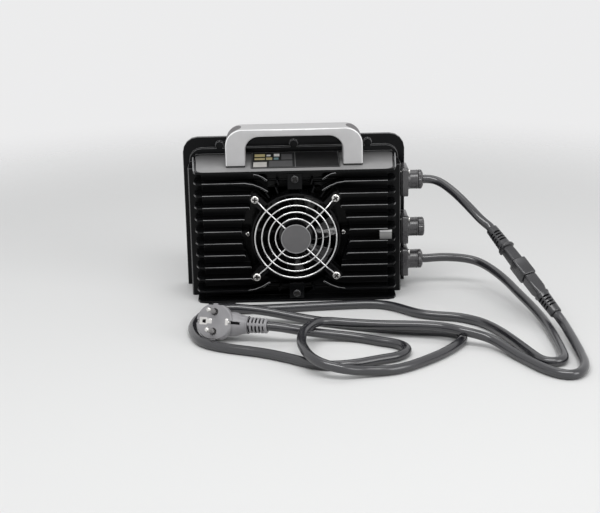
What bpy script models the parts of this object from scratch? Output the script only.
"""Sealed, finned, fan-cooled battery charger with a carrying handle and its leads.

The charger stands on its lower face. X runs to the right, Y to the back and Z up, in metres.
The origin is the middle of the housing's lower face. The fan looks along -Y.
"""
import math

import bmesh
import bpy
from mathutils import Matrix, Vector

MM = 0.001
GAP = 0.3 * MM
LAP = 1 * MM
SKIN = 0.01 * MM

# Sides of round bodies
HOLE_SIDES = 8
POST_SIDES = 8
SMALL_ROUND_SIDES = 12
BARREL_SIDES = 16
DUCT_SIDES = 24

# Housing
BODY_WIDTH = 208 * MM
BODY_HEIGHT = 140 * MM
PANEL_DEPTH = 70 * MM
PANEL_SLOPE = math.radians(5)
WALL = 3.5 * MM
PANEL_STOCK = 20 * MM
CORNER_RADIUS = 9 * MM
FIN_COUNT = 10
FIN_THICK = 2.0 * MM
FIN_DEPTH = 18 * MM
SIDE_FIN_DEPTH = 8 * MM
LIP_THICK = 2.4 * MM
SIDE_BOX_WIDTH = 222 * MM
SIDE_BOX_DEPTH = 40 * MM
SIDE_BOX_DROP = 2 * MM
SIDE_BOX_RADIUS = 3 * MM
SIDE_CAVITY_SETBACK = 5.5 * MM
RIM_RISE = 11.7 * MM
RIM_DEPTH = 5.5 * MM
RIM_RADIUS = 13 * MM
FLANGE_WIDTH = 236 * MM
FLANGE_RISE = 23 * MM
FLANGE_THICK = 5 * MM
FLANGE_RADIUS = 16 * MM
GASKET_THICK = 1.0 * MM
GASKET_WIDTH = 5 * MM
COVER_THICK = 3 * MM
COVER_INSET = 1.0 * MM
CAVITY_RADIUS = 5 * MM
COVER_BOSS_RADIUS = 4.6 * MM
COVER_BOSS_SPREAD = 78.5 * MM
COVER_BOSS_DEPTH = 5.5 * MM
COVER_SCREW_MARGIN = 8.5 * MM
COVER_SIDE_SCREW_HEIGHT = 22 * MM
COVER_SIDE_SCREW_MARGIN = 3.6 * MM
GASKET_MARGIN = 1 * MM

# Fan
FAN_RING_RADIUS = 46 * MM
FAN_RING_WALL = 2.4 * MM
FAN_HOLE_SPACING = 82.5 * MM
FAN_THICK = 25 * MM
FAN_LUG_THICK = 4 * MM
FAN_LUG_RADIUS = 5.2 * MM
FAN_HUB_RADIUS = 17.5 * MM
FAN_HUB_WALL = 1.6 * MM
HUB_EDGE = 1 * MM
FAN_HUB_LENGTH = 13 * MM
FAN_HUB_SETBACK = 6.5 * MM
FAN_BLADES = 7
FAN_TIP_CLEARANCE = 1.2 * MM
BLADE_SECTIONS = 4
BLADE_STEPS = 3
BLADE_ROOT_PITCH = 46
BLADE_TWIST = 18
BLADE_SWEEP = 14
BLADE_CHORD = 15 * MM
BLADE_FLARE = 6 * MM
BLADE_THICK = 1.5 * MM
BLADE_TAPER = 0.5 * MM
BLADE_CAMBER = 1.6 * MM
FAN_SHAFT_RADIUS = 1.5 * MM
FAN_BEARING_RADIUS = 3.4 * MM
FAN_TUBE_RADIUS = 4.8 * MM
FAN_TUBE_SETBACK = 4 * MM
FAN_BEARING_SETBACK = 4.5 * MM
FAN_BASE_RADIUS = 17 * MM
FAN_BASE_THICK = 2.5 * MM
FAN_STRUTS = 4
FAN_STRUT_WIDTH = 4.5 * MM
STATOR_RADIUS = 14.2 * MM
STATOR_TEETH = 4
STATOR_SLOT = 4.0 * MM
STATOR_LENGTH = 6 * MM
STATOR_SETBACK = 3 * MM
STATOR_SLOT_FROM = 0.6
STATOR_SLOT_TO = 1.2

# Pocket in the fins round the fan
POCKET_CLEARANCE = 10.5 * MM
LUG_CLEARANCE = 0.5 * MM
POCKET_DEPTH = 32 * MM
LANE_MARGIN = 0.4 * MM
POST_RADIUS = 5.4 * MM
SWEPT_FIN_START = 50 * MM
SWEPT_FIN_REACH = 28 * MM
SWEPT_FIN_DROP = 8.8 * MM
UPPER_SWEPT_START = 42 * MM
UPPER_SWEPT_REACH = 28.5 * MM
UPPER_SWEPT_SETBACK = 3.5 * MM
UPPER_SWEPT_DROP = 6.5 * MM
SWEPT_STEPS = 3
SWEPT_CURVE = 1.8
SWEPT_SHARE = 0.9
VANE_ANGLES = (21, 33)
VANE_CLEARANCE = 2.5 * MM
VANE_LENGTH = 7 * MM
VANE_THICK = 1.6 * MM
VANE_SETBACK = 5 * MM
OUTER_VANE_ANGLE = 17
OUTER_VANE_LENGTH = 6 * MM
PAD_WIDTH = 15 * MM
PAD_CLEARANCE = 4 * MM
PAD_EDGE = 3 * MM
PAD_SETBACK = 2 * MM
PAD_SCREW_EDGE = 9 * MM
EAR_CLEARANCE = 0.5 * MM
EAR_RADIUS = 3.2 * MM
EAR_SETBACK = 17 * MM

# Fan guard
GUARD_WIRE_RADIUS = 0.95 * MM
GUARD_RINGS = 4
GUARD_RING_PITCH = 7 * MM
GUARD_RING_INSET = 4 * MM
GUARD_STANDOFF = 5.2 * MM
GUARD_FACET_COUNT = 20
GUARD_EYE_RADIUS = 4.0 * MM
GUARD_EYE_THICK = 1.4 * MM
GUARD_SPOKE_INNER = 11 * MM
GUARD_SPOKE_SHARE = 0.92
GUARD_WIRE_SIDES = 5
GUARD_SCREW_BITE = 5 * MM
BADGE_RADIUS = 15.4 * MM
BADGE_THICK = 1.6 * MM
BADGE_EDGE = 0.5 * MM

# Screws
SCREW_HEAD_RADIUS = 4.2 * MM
SCREW_HEAD_HEIGHT = 2.8 * MM
SCREW_SHANK_RADIUS = 1.9 * MM
SMALL_HEAD_RADIUS = 2.7 * MM
SMALL_HEAD_HEIGHT = 1.9 * MM
SMALL_SHANK_RADIUS = 1.3 * MM
HOLE_CLEARANCE = 0.35 * MM
SCREW_CROSS_WIDTH = 1.2 * MM
SCREW_CROSS_DEPTH = 1.1 * MM
SCREW_BITE = 6 * MM
SCREW_CROWN = 0.72
SCREW_SHOULDER = 0.55
SCREW_CROSS_REACH = 0.55
SCREW_SIDES = 8
SMALL_SCREW_SIDES = 6

# Handle
HANDLE_SPAN = 140.8 * MM
HANDLE_RISE = 40.5 * MM
HANDLE_BAR = 7.6 * MM
HANDLE_LEG = 20 * MM
HANDLE_DEPTH = 32 * MM
HANDLE_SETBACK = 14 * MM
HANDLE_OUTER_RADIUS = 17 * MM
HANDLE_INNER_RADIUS = 15 * MM
HANDLE_EDGE = 1.6 * MM
HANDLE_PAD_THICK = 1.5 * MM
HANDLE_STOCK = 10 * MM
HANDLE_SCREW_SETBACK = 1.2 * MM
HANDLE_STEPS = 5

# Label and status window
LABEL_SIDE_GAP = 4.4 * MM
LABEL_DEPTH = 54 * MM
LABEL_THICK = 0.5 * MM
LABEL_SETBACK = 9.7 * MM
LABEL_RADIUS = 1.5 * MM
LABEL_CENTRE = 1.2 * MM
WINDOW_WIDTH = 12.6 * MM
WINDOW_CENTRE = 93 * MM
WINDOW_SLOT = 5
WINDOW_SETBACK = 3 * MM
WINDOW_STEM_WIDTH = 4 * MM
WINDOW_INSIDE = 0.5 * MM
WINDOW_STEM_INSET = 1 * MM

# Cable ports on the right side, counted from the top
PORT_DROP = 22.5 * MM
PORT_MIDDLE_DROP = 4 * MM
PORT_RISE = 30.3 * MM
PORT_SETBACK = 47 * MM
PORT_PLATE_HEIGHT = 30.6 * MM
PORT_PLATE_DEPTH = 33 * MM
PORT_PLATE_THICK = 6.6 * MM
PORT_PLATE_RADIUS = 3.5 * MM
PORT_GASKET_THICK = 0.8 * MM
PORT_BARREL_RADIUS = 10.2 * MM
PORT_BARREL_LENGTH = 11 * MM
PORT_SPIGOT_RADIUS = 8 * MM
PORT_SPIGOT_INSIDE = 2 * MM
PORT_SCREW_BITE = 1 * MM
PORT_SCREW_Y = 12.4 * MM
PORT_SCREW_Z = 11.4 * MM
NUT_RADIUS = 10.4 * MM
NUT_LENGTH = 5.2 * MM
NUT_MOUTH = 3 * MM
NUT_EDGE = 2 * MM
NUT_FACE_INSET = 2.6 * MM
CAP_LENGTH = 6.6 * MM
CAP_EDGE = 1.6 * MM

# Parts inside
BOARD_THICK = 1.6 * MM
BOARD_MARGIN = 6 * MM
BOARD_RADIUS = 2 * MM
BOARD_STANDOFF = 4 * MM
STANDOFF_RADIUS = 3.5 * MM
STANDOFF_INSET = 6 * MM
TRANSFORMER_SIZE = (38 * MM, 20 * MM, 32 * MM)
TRANSFORMER_X = 66 * MM
TRANSFORMER_RISE = 22 * MM
WINDING_SIZE = (30 * MM, 24 * MM)
WINDING_PROUD = 1.5 * MM
CAPACITOR_RADIUS = 9 * MM
CAPACITOR_LENGTH = 24 * MM
CAPACITOR_X = 76 * MM
CAPACITOR_PITCH = 30 * MM

# Leads
LEAD_RADIUS = 4.5 * MM
LEAD_STEP = 20.5 * MM
SHORT_LEAD_STEP = 9.5 * MM
LEAD_STRAIGHT = 6 * MM
LEAD_SUBSTEPS = 24
LEAD_FACET_COUNT = 1
LEAD_LIFT = 0.1 * MM
LEAD_CLEARANCE = 0.3 * MM

# Mains plug
PLUG_RADIUS = 18 * MM
PLUG_FLAT = 16.2 * MM
PLUG_DEPTH = 26 * MM
PLUG_EDGE = 1.2 * MM
PLUG_RIM = 8 * MM
PLUG_SHOULDER = 6 * MM
PLUG_SHOULDER_DRAW = 1.5 * MM
PLUG_BACK_EDGE = 3 * MM
PLUG_BACK_FLARE = 2 * MM
PLUG_BACK_RADIUS = 11 * MM
PLUG_FACE_CENTRE = Vector((-81.0, -160.4, 21.8)) * MM
PLUG_FACE_NORMAL = Vector((-0.273, -0.862, 0.4275))
PLUG_CABLE_AXIS = Vector((0.958, -0.2935, 0.0206))
PLUG_PIN_RADIUS = 2.4 * MM
PLUG_PIN_LENGTH = 19 * MM
PLUG_PIN_SPACING = 19 * MM
PLUG_PIN_ROOT = 5 * MM
PLUG_PIN_TIP = 0.55
PLUG_PIN_TIP_LENGTH = 1.6 * MM
PLUG_EARTH_HOLE_RADIUS = 2.5 * MM
PLUG_EARTH_HOLE_OFFSET = 9.6 * MM
PLUG_EARTH_HOLE_DEPTH = 15 * MM
PLUG_CLIP_WIDTH = 6.4 * MM
PLUG_CLIP_THICK = 1.0 * MM
PLUG_CLIP_REACH = 14 * MM
PLUG_CLIP_SETBACK = 0.5 * MM
PLUG_RIB_WIDTH = 5 * MM
PLUG_RIB_HEIGHT = 1.5 * MM
PLUG_RIB_SETBACK = 0.6 * MM
PLUG_RIB_DEPTH = 3 * MM
PLUG_CABLE_SETBACK = 14 * MM
PLUG_NECK_START = 12 * MM
PLUG_NECK_RADIUS = 9.2 * MM
PLUG_NECK_TAPER = 1.2 * MM
PLUG_NECK_LAP = 1 * MM
RELIEF_RADIUS = 7 * MM
RELIEF_END_RADIUS = 6 * MM
PLUG_RELIEF_START = 29 * MM
PLUG_RELIEF_END = 50 * MM
PLUG_RELIEF_LAP = 2 * MM
PLUG_RELIEF_RADIUS = 7.6 * MM
PLUG_RELIEF_END_RADIUS = 7 * MM
PLUG_SLOT_FLOOR = 5 * MM
PLUG_RELIEF_SPINE = 0.9 * MM
PLUG_RELIEF_SLOTS = 5
RELIEF_SLOTS = 4
RELIEF_SLOT_SHIFT = 1 * MM
RELIEF_CUT = 12 * MM
RELIEF_CUT_WIDTH = 16 * MM
RELIEF_SIDES = 10
RELIEF_SLOT_WIDTH = 1.5 * MM
RELIEF_SLOT_PITCH = 3.6 * MM
RELIEF_SLOT_FLOOR = 4.5 * MM

# Inline connector pair between the charger's mains lead and the mains cord
INLINE_START = Vector((198.8, -60.0, 79.6)) * MM
INLINE_END = Vector((249.8, -147.5, 17.2)) * MM
INLINE_RELIEF_LENGTH = 26.5 * MM
INLINE_SOCKET_LENGTH = 42.4 * MM
INLINE_SOCKET_WIDE = 21.4 * MM
INLINE_SOCKET_SIZE = (14.8 * MM, 14.8 * MM)
INLINE_NECK_SIZE = (11.8 * MM, 11.8 * MM)
INLINE_PLUG_SIZE = (12.8 * MM, 12.8 * MM)
INLINE_EDGE = 2 * MM
INLINE_LAP = 2 * MM
INLINE_ROLL = math.radians(-10)

# Connector at the far end of the output lead
DC_CONNECTOR_SIZE = (28 * MM, 17 * MM, 9 * MM)
DC_CONNECTOR_EDGE = 1.5 * MM
DC_SOCKET_RADIUS = 2.6 * MM

# Planes and levels that follow from the sizes above
TOTAL_DEPTH = PANEL_DEPTH + FLANGE_THICK + GASKET_THICK + COVER_THICK
FRONT_Y = -TOTAL_DEPTH / 2
ROOT_Y = FRONT_Y + FIN_DEPTH
FLANGE_Y = FRONT_Y + PANEL_DEPTH
FLANGE_BACK_Y = FLANGE_Y + FLANGE_THICK
SIDE_BOX_Y = FLANGE_Y - SIDE_BOX_DEPTH
COVER_Y = FLANGE_BACK_Y + GASKET_THICK
POCKET_Y = FRONT_Y + POCKET_DEPTH
FIN_PITCH = BODY_HEIGHT / (FIN_COUNT + 1)
FAN_CENTRE = Vector((0, FRONT_Y, BODY_HEIGHT / 2))
FAN_HOLE = FAN_HOLE_SPACING / 2
FAN_DUCT_RADIUS = FAN_RING_RADIUS - FAN_RING_WALL
SIDE_BOX_HEIGHT = BODY_HEIGHT - SIDE_BOX_DROP
RIM_HEIGHT = BODY_HEIGHT + RIM_RISE
FLANGE_HEIGHT = BODY_HEIGHT + FLANGE_RISE
HANDLE_TOP = BODY_HEIGHT + HANDLE_RISE
LABEL_WIDTH = HANDLE_SPAN - 2 * HANDLE_LEG - 2 * LABEL_SIDE_GAP
POCKET_RADIUS = FAN_RING_RADIUS + POCKET_CLEARANCE
POCKET_SQUARE_RADIUS = FAN_LUG_RADIUS + LUG_CLEARANCE
POCKET_SQUARE = 2 * (FAN_HOLE + POCKET_SQUARE_RADIUS)
EAR_OFFSET = FAN_RING_RADIUS + EAR_RADIUS + EAR_CLEARANCE
PORT_HEIGHTS = (BODY_HEIGHT - PORT_DROP, BODY_HEIGHT / 2 - PORT_MIDDLE_DROP, PORT_RISE)
PAD_INNER = FAN_RING_RADIUS + PAD_CLEARANCE
PAD_OUTER = BODY_HEIGHT / 2 - PAD_EDGE
PAD_SCREW_OFFSET = BODY_HEIGHT / 2 - PAD_SCREW_EDGE
GUARD_RADIUS = FAN_RING_RADIUS - GUARD_RING_INSET
PORT_X = SIDE_BOX_WIDTH / 2
PORT_Y = FRONT_Y + PORT_SETBACK
PORT_PLATE_X = PORT_X + PORT_GASKET_THICK + 2 * GAP
PORT_FACE_X = PORT_PLATE_X + PORT_PLATE_THICK
PORT_NUT_X = PORT_FACE_X + PORT_BARREL_LENGTH + GAP
LEAD_EXIT_X = PORT_NUT_X + NUT_LENGTH
CORE_HALF = BODY_WIDTH / 2 - SIDE_FIN_DEPTH
HOLE_RADIUS = SCREW_SHANK_RADIUS + HOLE_CLEARANCE
SMALL_HOLE_RADIUS = SMALL_SHANK_RADIUS + HOLE_CLEARANCE
CAVITY_SIDE_HALF = SIDE_BOX_WIDTH / 2 - WALL
PORT_SPIGOT_X = CAVITY_SIDE_HALF - PORT_SPIGOT_INSIDE
CAVITY_CORE_HALF = CORE_HALF - WALL
BOARD_Y = FLANGE_Y - BOARD_STANDOFF - BOARD_THICK

# Hand-chosen points of the leads, in millimetres, in the part's own frame
AC_LEAD_ROUTE = (
    (147, 6.5, 117.2), (156.5, -1.5, 113.6), (168, -20, 106.6), (180, -38.5, 96.2), (190, -52.5, 86.7),
)
MAINS_CORD_ROUTE = (
    (255.5, -180, 9.5), (257, -228, 4.8), (253, -259, 4.6), (239, -277, 4.6), (219.7, -263, 4.6),
    (201, -228, 4.6), (181, -193, 9), (157, -184, 14.2), (137.3, -169.5, 14.2), (111.5, -161, 13.6),
    (78.5, -156, 13.2), (47.6, -154, 15), (20, -158, 18.5), (5.7, -184, 20), (2.5, -199, 19.2),
    (2.3, -220.5, 17.4), (11.5, -248, 14.8), (29.7, -262.7, 12), (54.7, -259, 6.5), (89.2, -251, 4.6),
    (124.8, -222, 4.6), (146.7, -194.5, 4.6), (156.5, -174, 4.6), (150.5, -160, 4.6), (136, -154, 4.6),
    (112.4, -150, 4.6), (79.3, -141, 4.6), (50.6, -130, 4.6), (21.5, -117.5, 5), (-2, -109.5, 7),
    (-33.9, -103.3, 12), (-68, -97.5, 14), (-92, -95.5, 8.5), (-103, -115, 4.6), (-102, -142, 4.6),
    (-92.5, -169, 4.6), (-72.8, -185, 4.6), (-33.1, -203, 4.6), (-7.2, -220, 4.6), (9.4, -233, 4.6),
    (27, -240, 4.6), (49.6, -236.9, 4.6), (73.1, -227, 4.6), (90.5, -220, 4.6), (100.7, -204, 4.6),
    (94, -188, 4.6), (79.2, -180, 4.6), (53.7, -166, 4.8), (22, -162.4, 8), (1.9, -164.5, 12),
)
DC_LEAD_ROUTE = (
    (158, 8, 31), (180.6, 6, 29.6), (194.6, -1, 27.6), (206.8, -18.5, 24), (217.8, -43, 19),
    (226.9, -75.6, 14), (235.2, -109.4, 10), (241.2, -149, 6.4), (242.2, -192, 4.6), (240, -222, 4.6),
    (230, -243.5, 4.6), (216.5, -233, 4.6), (206.1, -197.6, 4.6), (197.6, -169.4, 4.6), (187.9, -145.1, 4.6),
    (176.8, -127.7, 4.6), (158, -113.5, 4.6), (137.6, -107.8, 4.6), (122, -100.5, 4.6), (111.2, -90, 4.6),
    (98.3, -76.3, 4.6), (84.7, -68.5, 4.6), (70, -66.4, 4.6), (51.8, -67.1, 4.6), (23, -69.2, 4.6),
    (-5.7, -71.9, 4.6), (-34, -74.5, 4.6), (-54, -74.5, 4.6),
)
DC_CONNECTOR_AT = Vector((-63, -74.5, 4.8)) * MM

MATERIALS = {
    "black_paint": ((0.022, 0.023, 0.026), 0.28, 0.0),
    "panel_grey": ((0.05, 0.05, 0.053), 0.45, 0.0),
    "black_plastic": ((0.02, 0.02, 0.022), 0.4, 0.0),
    "cord_grey": ((0.045, 0.046, 0.05), 0.5, 0.0),
    "plug_grey": ((0.32, 0.32, 0.33), 0.45, 0.0),
    "silver": ((0.62, 0.63, 0.64), 0.35, 0.6),
    "steel": ((0.75, 0.75, 0.74), 0.22, 1.0),
    "badge_grey": ((0.3, 0.3, 0.31), 0.4, 0.2),
    "window_white": ((0.85, 0.85, 0.83), 0.3, 0.0),
    "rubber": ((0.03, 0.03, 0.03), 0.75, 0.0),
    "board_green": ((0.03, 0.16, 0.07), 0.5, 0.0),
    "ferrite": ((0.06, 0.06, 0.065), 0.7, 0.0),
    "copper": ((0.72, 0.33, 0.16), 0.35, 1.0),
    "capacitor": ((0.05, 0.06, 0.14), 0.4, 0.0),
    "brass": ((0.75, 0.55, 0.25), 0.3, 1.0),
}


def clear_scene():
    """Removes what the scene holds at the start."""
    for item in list(bpy.data.objects):
        bpy.data.objects.remove(item, do_unlink=True)


def new_collection(name):
    """Adds a collection to the scene."""
    collection = bpy.data.collections.new(name)
    bpy.context.scene.collection.children.link(collection)
    return collection


def material(name):
    """Returns the named Principled material, made on first use."""
    if name in bpy.data.materials:
        return bpy.data.materials[name]
    colour, roughness, metallic = MATERIALS[name]
    made = bpy.data.materials.new(name)
    made.use_nodes = True
    shader = made.node_tree.nodes["Principled BSDF"]
    shader.inputs["Base Color"].default_value = (*colour, 1)
    shader.inputs["Roughness"].default_value = roughness
    shader.inputs["Metallic"].default_value = metallic
    made.diffuse_color = (*colour, 1)
    return made


def rounded_rectangle(width, height, radius, steps=3, centre=(0, 0), corners=(1, 1, 1, 1)):
    """Outline of a rectangle whose chosen corners are arcs, anticlockwise from the lower right."""
    cx, cy = centre
    points = []
    signs = ((1, -1), (1, 1), (-1, 1), (-1, -1))
    for index, (sx, sy) in enumerate(signs):
        x = cx + sx * width / 2
        y = cy + sy * height / 2
        if not corners[index]:
            points.append((x, y))
            continue
        start = math.radians(-90 + 90 * index)
        for step in range(steps + 1):
            angle = start + math.radians(90) * step / steps
            points.append((x - sx * radius + radius * math.cos(angle),
                           y - sy * radius + radius * math.sin(angle)))
    return points


def circle(radius, sides, centre=(0, 0)):
    """Outline of a circle."""
    turn = 2 * math.pi / sides
    return [(centre[0] + radius * math.cos(turn * i), centre[1] + radius * math.sin(turn * i))
            for i in range(sides)]


def strip(path, thickness):
    """Outline of a strip of even thickness along an open path."""
    left, right = [], []
    for index, point in enumerate(path):
        before = Vector(path[max(0, index - 1)])
        after = Vector(path[min(len(path) - 1, index + 1)])
        direction = (after - before).normalized()
        side = Vector((-direction.y, direction.x)) * thickness / 2
        left.append(tuple(Vector(point) + side))
        right.append(tuple(Vector(point) - side))
    return right + left[::-1]


PLANES = {
    "X": Matrix(((0, 0, 1, 0), (1, 0, 0, 0), (0, 1, 0, 0), (0, 0, 0, 1))),
    "Y": Matrix(((1, 0, 0, 0), (0, 0, 1, 0), (0, 1, 0, 0), (0, 0, 0, 1))),
    "Z": Matrix.Identity(4),
}


def extrude(bm, outline, axis, low, high, place=None):
    """Adds a closed prism: an outline in the plane across the axis, from low to high along it."""
    verts = [bm.verts.new((u, v, low)) for u, v in outline]
    face = bm.faces.new(verts)
    grown = bmesh.ops.extrude_face_region(bm, geom=[face])
    moved = [item for item in grown["geom"] if isinstance(item, bmesh.types.BMVert)]
    bmesh.ops.translate(bm, vec=(0, 0, high - low), verts=moved)
    matrix = (place or Matrix.Identity(4)) @ PLANES[axis]
    bmesh.ops.transform(bm, matrix=matrix, verts=verts + moved)
    return verts + moved


def box(bm, low, high, place=None):
    """Adds a box between two corners."""
    centre = [(a + b) / 2 for a, b in zip(low, high)]
    size = [b - a for a, b in zip(low, high)]
    matrix = (place or Matrix.Identity(4)) @ Matrix.Translation(centre) @ Matrix.Diagonal((*size, 1))
    bmesh.ops.create_cube(bm, size=1, matrix=matrix)


def finish_mesh(bm, name):
    """Turns a bmesh into a mesh with its faces pointing out."""
    bmesh.ops.recalc_face_normals(bm, faces=bm.faces)
    mesh = bpy.data.meshes.new(name)
    bm.to_mesh(mesh)
    bm.free()
    return mesh


def add_object(name, mesh, collection, colour=None, smooth=None):
    """Adds an object for a mesh, with its material and its shading."""
    made = bpy.data.objects.new(name, mesh)
    collection.objects.link(made)
    if colour:
        mesh.materials.append(material(colour))
    if smooth:
        mesh.shade_smooth()
        mesh.set_sharp_from_angle(angle=math.radians(smooth))
    return made


class Builder:
    """Holds the two collections and makes named parts and their cutters."""

    def __init__(self):
        self.parts = new_collection("battery_charger")
        self.cutters = new_collection("cutters")
        self.count = 0

    def part(self, name, fill, colour, smooth=None):
        """A part whose first body is drawn by fill."""
        bm = bmesh.new()
        fill(bm)
        return add_object(name, finish_mesh(bm, name), self.parts, colour, smooth)

    def tool(self, fill):
        """A hidden body for a Boolean."""
        bm = bmesh.new()
        fill(bm)
        self.count += 1
        name = f"tool_{self.count:03d}"
        made = add_object(name, finish_mesh(bm, name), self.cutters)
        made.hide_render = True
        made.display_type = "WIRE"
        return made

    def boolean(self, target, other, operation):
        """Adds a Boolean modifier."""
        step = target.modifiers.new(f"{operation.lower()}_{len(target.modifiers)}", "BOOLEAN")
        step.operation = operation
        step.solver = "EXACT"
        step.object = other
        return step

    def join(self, target, fill):
        """Adds material to a part."""
        self.boolean(target, self.tool(fill), "UNION")

    def cut(self, target, fill):
        """Takes material from a part."""
        self.boolean(target, self.tool(fill), "DIFFERENCE")

    def lathe(self, name, profile, colour, place, steps, smooth=40):
        """A turned part: (radius, height) points from its top centre down to its lower centre."""
        return self.turned(name, profile, place, steps, self.parts, colour, smooth)

    def turned(self, name, profile, place, steps, collection, colour=None, smooth=None):
        """A profile with a Screw modifier about its own Z axis."""
        mesh = bpy.data.meshes.new(name)
        mesh.from_pydata([(r, 0, z) for r, z in profile], [(i, i + 1) for i in range(len(profile) - 1)], [])
        made = add_object(name, mesh, collection, colour)
        made.matrix_world = place
        turn = made.modifiers.new("turn", "SCREW")
        turn.steps = steps
        turn.render_steps = steps
        turn.use_merge_vertices = True
        turn.merge_threshold = 0.00002
        turn.use_smooth_shade = bool(smooth)
        return made

    def turned_tool(self, profile, place, steps):
        """A hidden turned body for a Boolean."""
        self.count += 1
        made = self.turned(f"tool_{self.count:03d}", profile, place, steps, self.cutters)
        made.hide_render = True
        made.display_type = "WIRE"
        return made


def along(direction, at=(0, 0, 0)):
    """Matrix that turns a body's own Z axis to a direction, at a point."""
    return Matrix.Translation(at) @ Vector(direction).to_track_quat("Z", "Y").to_matrix().to_4x4()


def panel_height(y):
    """Height of the sloping top panel at a depth."""
    return BODY_HEIGHT + math.tan(PANEL_SLOPE) * (y - FRONT_Y)


def panel_place(y):
    """Matrix of a frame that lies on the top panel, its Z axis square to it."""
    return Matrix.Translation((0, y, panel_height(y))) @ Matrix.Rotation(PANEL_SLOPE, 4, "X")


def plan_outline(half, back, radius):
    """Seen from above: the fins' outer edge, round at the two front corners."""
    depth = back - FRONT_Y
    return rounded_rectangle(2 * half, depth, radius, 2, (0, FRONT_Y + depth / 2), (1, 0, 0, 1))


def arch(half, top, radius):
    """Seen from the front: an upright plate with its two upper corners round."""
    return rounded_rectangle(2 * half, top, radius, 4, (0, top / 2), (0, 1, 1, 0))


def fan_square(size, radius):
    """Seen from the front: a square round the fan's axis."""
    return rounded_rectangle(size, size, radius, 3, (0, FAN_CENTRE.z))


def fan_circle(radius, sides=DUCT_SIDES):
    """Seen from the front: a circle round the fan's axis."""
    return circle(radius, sides, (0, FAN_CENTRE.z))


def fan_corners():
    """The four places, in X and Z, of the fan's screws."""
    return [(sx * FAN_HOLE, FAN_CENTRE.z + sz * FAN_HOLE) for sx in (-1, 1) for sz in (1, -1)]


def cover_screw_places():
    """The places, in X and Z, of the screws that hold the back cover."""
    top = FLANGE_HEIGHT - COVER_SCREW_MARGIN
    side = FLANGE_WIDTH / 2 - COVER_SIDE_SCREW_MARGIN
    upper = [(x, top) for x in (-COVER_BOSS_SPREAD, 0, COVER_BOSS_SPREAD)]
    return upper + [(x, COVER_SIDE_SCREW_HEIGHT) for x in (-side, side)]


def board_span():
    """Half the main board's width, its lower level and its upper level."""
    return CAVITY_CORE_HALF - BOARD_MARGIN, WALL + BOARD_MARGIN, panel_height(ROOT_Y) - WALL - BOARD_MARGIN


def board_posts():
    """The places, in X and Z, of the posts that carry the main board."""
    half, low, high = board_span()
    inset = STANDOFF_INSET
    return [(sx * (half - inset), z) for sx in (-1, 1) for z in (low + inset, high - inset)]


def swept_fin(start, end, sign):
    """Path of a fin that leaves the horizontal and sweeps in towards the fan."""
    points = []
    for step in range(SWEPT_STEPS + 1):
        share = step / SWEPT_STEPS
        x = start[0] + (end[0] - start[0]) * share
        drop = (start[1] - end[1]) * share ** SWEPT_CURVE
        points.append((sign * x, start[1] - drop))
    return points


def housing_fins(bm):
    """The level fins, each as wide as the housing and round at its two front corners."""
    outline = plan_outline(BODY_WIDTH / 2, SIDE_BOX_Y + LAP, CORNER_RADIUS)
    for index in range(1, FIN_COUNT + 1):
        z = BODY_HEIGHT - FIN_PITCH * index
        extrude(bm, outline, "Z", z - FIN_THICK / 2, z + FIN_THICK / 2)


def swept_fins(bm, low_side):
    """The fins next to the fan's screws, which sweep in towards it."""
    mid = FAN_CENTRE.z
    level = BODY_HEIGHT / 2 - FIN_PITCH
    upper = BODY_HEIGHT / 2 - UPPER_SWEPT_SETBACK
    for sign in (-1, 1):
        paths = [swept_fin((SWEPT_FIN_START + LAP, level), (SWEPT_FIN_REACH, level - SWEPT_FIN_DROP), sign)]
        if not low_side:
            paths.append(swept_fin((UPPER_SWEPT_START, upper), (UPPER_SWEPT_REACH, upper - UPPER_SWEPT_DROP),
                                   sign))
        for path in paths:
            flip = -1 if low_side else 1
            outline = strip([(x, mid + flip * z) for x, z in path], FIN_THICK * SWEPT_SHARE)
            extrude(bm, outline, "Y", FRONT_Y, ROOT_Y + LAP)


def vanes(bm):
    """Short radial ribs above and below the fan."""
    mid = FAN_CENTRE.z
    inner = FAN_RING_RADIUS + VANE_CLEARANCE
    outer = POCKET_RADIUS
    for sign in (-1, 1):
        for degrees in VANE_ANGLES:
            angle = math.radians(90 - sign * degrees)
            ends = [(r * math.cos(angle), mid + r * math.sin(angle)) for r in (inner, inner + VANE_LENGTH)]
            extrude(bm, strip(ends, VANE_THICK), "Y", FRONT_Y + VANE_SETBACK, POCKET_Y + LAP)
        for up in (-1, 1):
            angle = math.radians(90 - sign * OUTER_VANE_ANGLE)
            ends = [(r * math.cos(angle), mid + up * r * math.sin(angle))
                    for r in (outer, outer + OUTER_VANE_LENGTH)]
            extrude(bm, strip(ends, VANE_THICK), "Y", FRONT_Y + VANE_SETBACK, ROOT_Y + LAP)


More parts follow.
